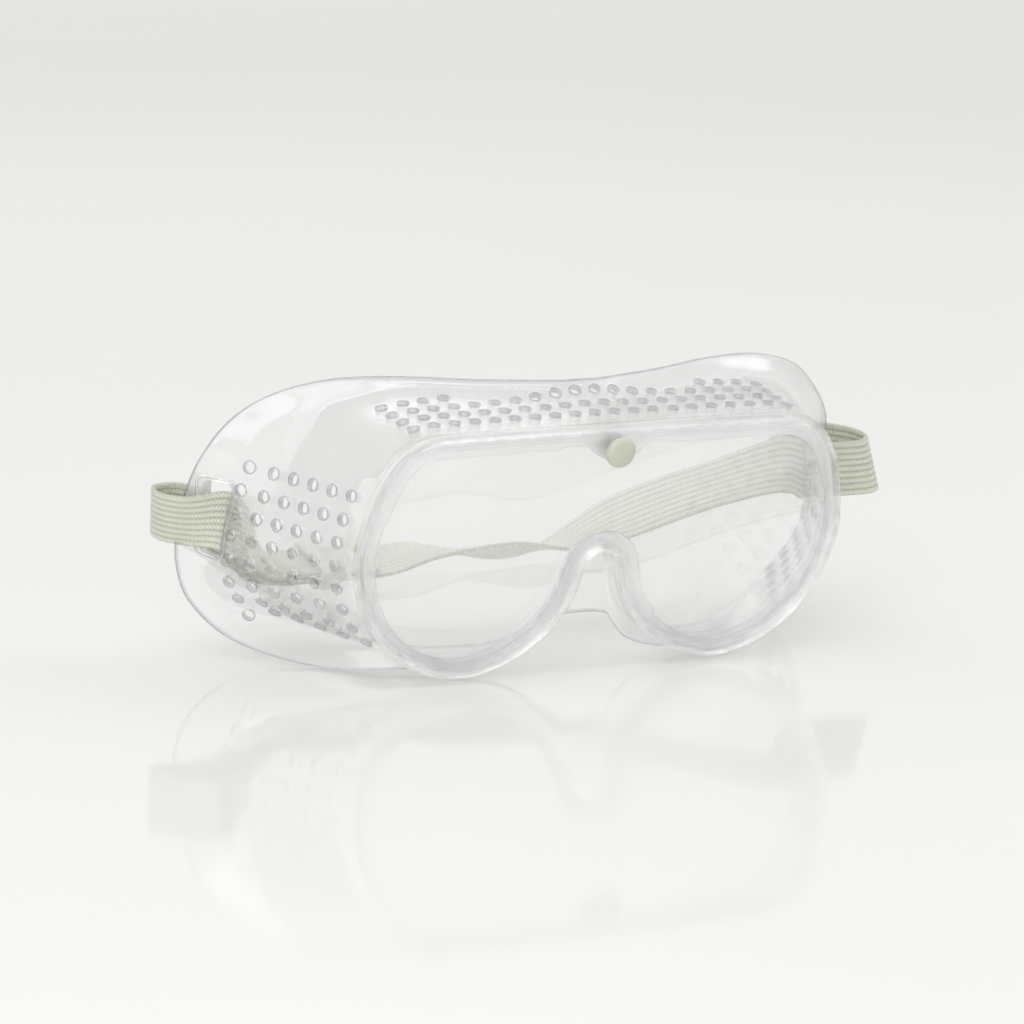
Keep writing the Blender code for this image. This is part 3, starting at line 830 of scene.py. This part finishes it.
def make_lens(material):
    """The flat window with its edge lightly eased, and a hole for the button's stem."""
    shape = bmesh.new()
    sections = []
    for inset, depth in ((LENS_INSET + 1.2, LENS_FRONT), (LENS_INSET + 0.3, LENS_FRONT),
                         (LENS_INSET, LENS_FRONT + 0.3), (LENS_INSET, LENS_BACK - 0.3),
                         (LENS_INSET + 0.3, LENS_BACK), (LENS_INSET + 1.2, LENS_BACK)):
        section = lens_outline(inset)
        for point in section:
            point.y = depth
        sections.append(section)
    add_rings(shape, sections, caps=True)
    lens = mesh_object("lens_visual", shape, material)
    cutter = bmesh.new()
    hole = [[Vector((x, depth, BUTTON_HEIGHT + z)) for x, z in circle(STEM_HOLE_RADIUS, 28)]
            for depth in (-2.0, 8.0)]
    add_rings(cutter, hole, caps=True)
    subtract(lens, cutter, "stem_hole")
    shape = bmesh.new()
    shape.from_mesh(lens.data)
    shade_smooth(shape, 30.0)
    shape.to_mesh(lens.data)
    shape.free()
    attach(lens, "frame")
    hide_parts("lens")


def turned(name, profile, material, solid):
    """A turned piece on the snap button's axis: radius and depth behind the rim's front.

    A solid piece is capped at both ends. Any other piece is a ring.
    """
    shape = bmesh.new()
    sections = [[Vector((x, depth, BUTTON_HEIGHT + z)) for x, z in circle(radius, 64)]
                for radius, depth in profile]
    add_rings(shape, sections, closed=not solid, caps=solid)
    return mesh_object(name, shape, material)


def make_button(material):
    """A low dome with a shallow ring pressed in its crown, and a ball-ended stem."""
    profile = [(0.05, -2.6)]
    for step in range(1, 22):
        angle = 0.5 * math.pi * step / 21
        dish = 0.1 * math.exp(-((BUTTON_RADIUS * math.sin(angle) - 1.5) / 0.35) ** 2)
        profile.append((BUTTON_RADIUS * math.sin(angle), -0.9 - 1.7 * math.cos(angle) + dish))
    profile += [(BUTTON_RADIUS, -0.45), (BUTTON_RADIUS - 0.15, -0.3), (STEM_RADIUS + 0.2, -0.3),
                (STEM_RADIUS, -0.1), (STEM_RADIUS, 6.6), (STEM_RADIUS - 0.2, 7.2),
                (STEM_RADIUS - 0.7, 7.4), (0.05, 7.4)]
    button = turned("snap_button_visual", profile, material, solid=True)
    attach(button, "button")
    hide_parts("snap_button")


def make_socket(material):
    """The ring behind the rear lip, with an eased edge."""
    profile = [(1.7, 5.7), (1.9, 5.5), (3.1, 5.5), (3.5, 5.6), (3.7, 5.9), (3.65, 6.4),
               (3.4, 7.3), (3.1, 7.5), (2.0, 7.5), (1.7, 7.3)]
    socket = turned("snap_socket_visual", profile, material, solid=False)
    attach(socket, "frame")
    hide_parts("snap_socket")


# Strap

def strap_stations(step=0.9):
    """Point, direction, width direction and distance at even steps along the strap."""
    distances = running_distances(STRAP_PATH, 3)
    count = round(distances[-1] / step)
    samples = [spline_through(STRAP_PATH, distances, distances[-1] * i / count)
               for i in range(count + 1)]
    points = [Vector(sample[:3]) for sample in samples]
    stations = []
    for i, sample in enumerate(samples):
        along = (points[min(i + 1, count)] - points[max(i - 1, 0)]).normalized()
        lean = math.radians(sample[3])
        wide = Vector((0.0, math.sin(lean), math.cos(lean)))
        inside = min(max((80.0 - abs(points[i].x)) / 14.0, 0.0), 1.0)
        wide = (wide - along * (wide.dot(along) * inside)).normalized()
        stations.append((points[i], along, wide, distances[-1] * i / count))
    return stations


def strap_section(station):
    """Ring of points: ribs on both faces and a rounded, thicker band at each edge."""
    point, along, wide, _ = station
    thick = along.cross(wide).normalized()
    half = 0.5 * STRAP_THICKNESS
    samples = 6 * STRAP_RIBS
    right = RIGHT_LOOP_FLARE * min(max((point.x - 90.0) / 16.0, 0.0), 1.0)
    left = LEFT_LOOP_FLARE * min(max((-86.0 - point.x) / 8.0, 0.0), 1.0)
    wide = wide - Vector(((right + 0.6 * left) * wide.z, left * wide.z, 0.0))
    ring = []
    places = []
    for face in (1.0, -1.0):
        for k in range(samples + 1):
            across = (k / samples) if face > 0 else 1.0 - k / samples
            rib = abs(math.sin(math.pi * STRAP_RIBS * across))
            from_edge = min(across, 1.0 - across) * STRAP_WIDTH
            edge = max(0.0, 1.0 - from_edge / 0.45)
            height = half - 0.3 * (1.0 - rib) ** 1.5
            if from_edge < 1.2:
                height = half
            height = height * math.sqrt(max(1.0 - 0.8 * edge * edge, 0.05))
            ring.append(point + wide * (STRAP_WIDTH * (across - 0.5)) + thick * (height * face))
            places.append(across)
    return ring, places


def strap_piece(name, stations, materials, end_caps=(False, False), extra=None):
    """A stretch of strap with its own UV map: along it, and across it."""
    shape = bmesh.new()
    rings = []
    for station in stations:
        ring, places = strap_section(station)
        rings.append([shape.verts.new(placed(point)) for point in ring])
    uv = shape.loops.layers.uv.new("strap")
    count = len(rings[0])
    for i, (first, second) in enumerate(zip(rings, rings[1:])):
        here = stations[i][3] / STRAP_WIDTH
        there = stations[i + 1][3] / STRAP_WIDTH
        for k in range(count):
            j = (k + 1) % count
            face = shape.faces.new((first[k], first[j], second[j], second[k]))
            for loop, value in zip(face.loops, ((here, places[k]), (here, places[j]),
                                                (there, places[j]), (there, places[k]))):
                loop[uv].uv = value
    if end_caps[0]:
        shape.faces.new(rings[0][::-1])
    if end_caps[1]:
        shape.faces.new(rings[-1])
    if extra:
        extra(shape)
    return mesh_object(name, shape, *materials)


def bar_tack(stations):
    """Zigzag thread that sews the strap's end to the strap."""
    def add(shape):
        before = len(shape.faces)
        point, along, wide, _ = stations[BAR_TACK_STATION]
        thick = along.cross(wide).normalized()
        for side in (1.0, -1.0):
            crossings = []
            for k in range(BAR_TACK_CROSSINGS):
                across = (k / (BAR_TACK_CROSSINGS - 1) - 0.5) * BAR_TACK_WIDTH
                shift = 0.9 if k % 2 else -0.9
                crossings.append(point + wide * across + along * shift + thick * (0.62 * side))
            tube(shape, crossings, 0.2, 6)
        shape.faces.ensure_lookup_table()
        for face in shape.faces[before:]:
            face.material_index = 1
    return add


def make_strap(elastic, thread):
    """The one band as a free run, its doubled tail and the two ends looped on the frame."""
    stations = strap_stations()
    nearest = min(range(len(stations)), key=lambda i: abs(stations[i][0].x))
    right = min(range(nearest), key=lambda i: abs(stations[i][0].x - RIGHT_JOIN))
    run_end = min(range(nearest, len(stations)), key=lambda i: stations[i][0].x)
    left = min(range(nearest, run_end), key=lambda i: abs(stations[i][0].x - LEFT_JOIN))
    back = min(range(run_end, len(stations)), key=lambda i: abs(stations[i][0].x - LEFT_JOIN))

    run = strap_piece("strap_run", stations[right:left + 1], (elastic,))
    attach(run, "strap")
    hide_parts("strap_band")

    tail = strap_piece("strap_tail_visual", stations[back:], (elastic,), (False, True))
    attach(tail, "strap")
    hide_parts("strap_tail")

    ends = (
        ("strap_end_right", stations[:right + 1], (True, False), "strap_loop_right", 84.0,
         RIGHT_JOIN, bar_tack(stations)),
        ("strap_end_left", stations[left:back + 1], (False, False), "strap_loop_left", -90.0,
         LEFT_JOIN, None),
    )
    for name, part, caps, node, frame_side, strap_side, extra in ends:
        piece = strap_piece(name, part, (elastic, thread), caps, extra)
        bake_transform(piece)
        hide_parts(node)


def make_slide(material):
    """The slide: the CAD ring with rounded edges, round both layers of the strap."""
    shape = bmesh.new()
    centre = Vector(SLIDE_CENTRE)
    sections = []
    profile = ((0.0, -2.5), (0.3, -2.9), (0.7, -3.0), (1.0, -2.9), (1.3, -2.5),
               (1.3, 2.5), (1.0, 2.9), (0.7, 3.0), (0.3, 2.9), (0.0, 2.5))
    for out, along in profile:
        half_y, half_z = (0.5 * size + out for size in SLIDE_OPENING)
        loop = rounded_loop(box_corners(along, half_y, half_z), [0.3 + out] * 4, 4)
        sections.append([centre + point for point in loop])
    add_rings(shape, sections, closed=True)
    slide = mesh_object("strap_slide_visual", shape, material)
    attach(slide, "slide")
    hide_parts("strap_slide")


# Studio

def make_table(material):
    """A round table top, too wide for its edge to be seen."""
    shape = bmesh.new()
    bmesh.ops.create_circle(shape, cap_ends=True, segments=96, radius=12.0)
    table = mesh_object("table_top", shape, material)


def make_world():
    """A soft pale surround that is brighter behind the goggles than in front."""
    world = bpy.data.worlds.new("studio")
    bpy.context.scene.world = world
    world.use_nodes = True
    nodes = world.node_tree.nodes
    links = world.node_tree.links
    coordinates = nodes.new("ShaderNodeTexCoord")
    parts = nodes.new("ShaderNodeSeparateXYZ")
    links.new(coordinates.outputs["Generated"], parts.inputs["Vector"])
    ramp = nodes.new("ShaderNodeValToRGB")
    ramp.color_ramp.elements[0].position = 0.0
    ramp.color_ramp.elements[0].color = (0.4, 0.41, 0.41, 1.0)
    ramp.color_ramp.elements[1].position = 1.0
    ramp.color_ramp.elements[1].color = (1.0, 1.0, 0.98, 1.0)
    middle = ramp.color_ramp.elements.new(0.5)
    middle.color = (0.72, 0.73, 0.72, 1.0)
    facing = nodes.new("ShaderNodeMapRange")
    facing.inputs["From Min"].default_value = -1.0
    links.new(parts.outputs["Y"], facing.inputs["Value"])
    links.new(facing.outputs["Result"], ramp.inputs["Fac"])
    background = nodes["Background"]
    links.new(ramp.outputs["Color"], background.inputs["Color"])
    background.inputs["Strength"].default_value = 0.95


def set_tones():
    """Show colours as they are lit, without a film curve."""
    bpy.context.scene.view_settings.view_transform = "Standard"


def area_light(name, place, size, power):
    """A soft rectangular light that faces the goggles."""
    light = bpy.data.lights.new(name, "AREA")
    light.shape = "RECTANGLE"
    light.size = size[0]
    light.size_y = size[1]
    light.energy = power
    lamp = bpy.data.objects.new(name, light)
    lamp.location = place
    toward = Vector(LIGHT_TARGET) - Vector(place)
    lamp.rotation_euler = toward.to_track_quat("-Z", "Y").to_euler()
    bpy.context.scene.collection.objects.link(lamp)


def make_camera():
    """A long lens from the wearer's right of centre, a little above the goggles."""
    azimuth = math.radians(CAMERA_AZIMUTH)
    elevation = math.radians(CAMERA_ELEVATION)
    roll = math.radians(CAMERA_ROLL)
    aim = Vector(CAMERA_AIM) * MM + PLACE.to_translation()
    forward = Vector((-math.sin(azimuth) * math.cos(elevation),
                      math.cos(azimuth) * math.cos(elevation), -math.sin(elevation)))
    level = Vector((math.cos(azimuth), math.sin(azimuth), 0.0))
    above = level.cross(forward)
    right = level * math.cos(roll) + above * math.sin(roll)
    up = above * math.cos(roll) - level * math.sin(roll)
    data = bpy.data.cameras.new("camera")
    data.sensor_width = 36.0
    data.lens = CAMERA_LENS
    data.clip_end = 100.0
    camera = bpy.data.objects.new("camera", data)
    turn = Matrix((right, up, -forward)).transposed().to_4x4()
    camera.matrix_world = Matrix.Translation(aim - forward * CAMERA_DISTANCE) @ turn
    bpy.context.scene.collection.objects.link(camera)
    bpy.context.scene.camera = camera


make_frame(clear_vinyl(), vinyl_edge_painted_shade())
make_lens(clear_polycarbonate())
make_button(white_plastic())
make_socket(natural_nylon())
make_strap(knitted_elastic(), sewing_thread())
make_slide(slide_plastic())
make_table(pale_table())
make_world()
set_tones()
for name, place, size, power in LIGHTS:
    area_light(name, place, size, power)
make_camera()
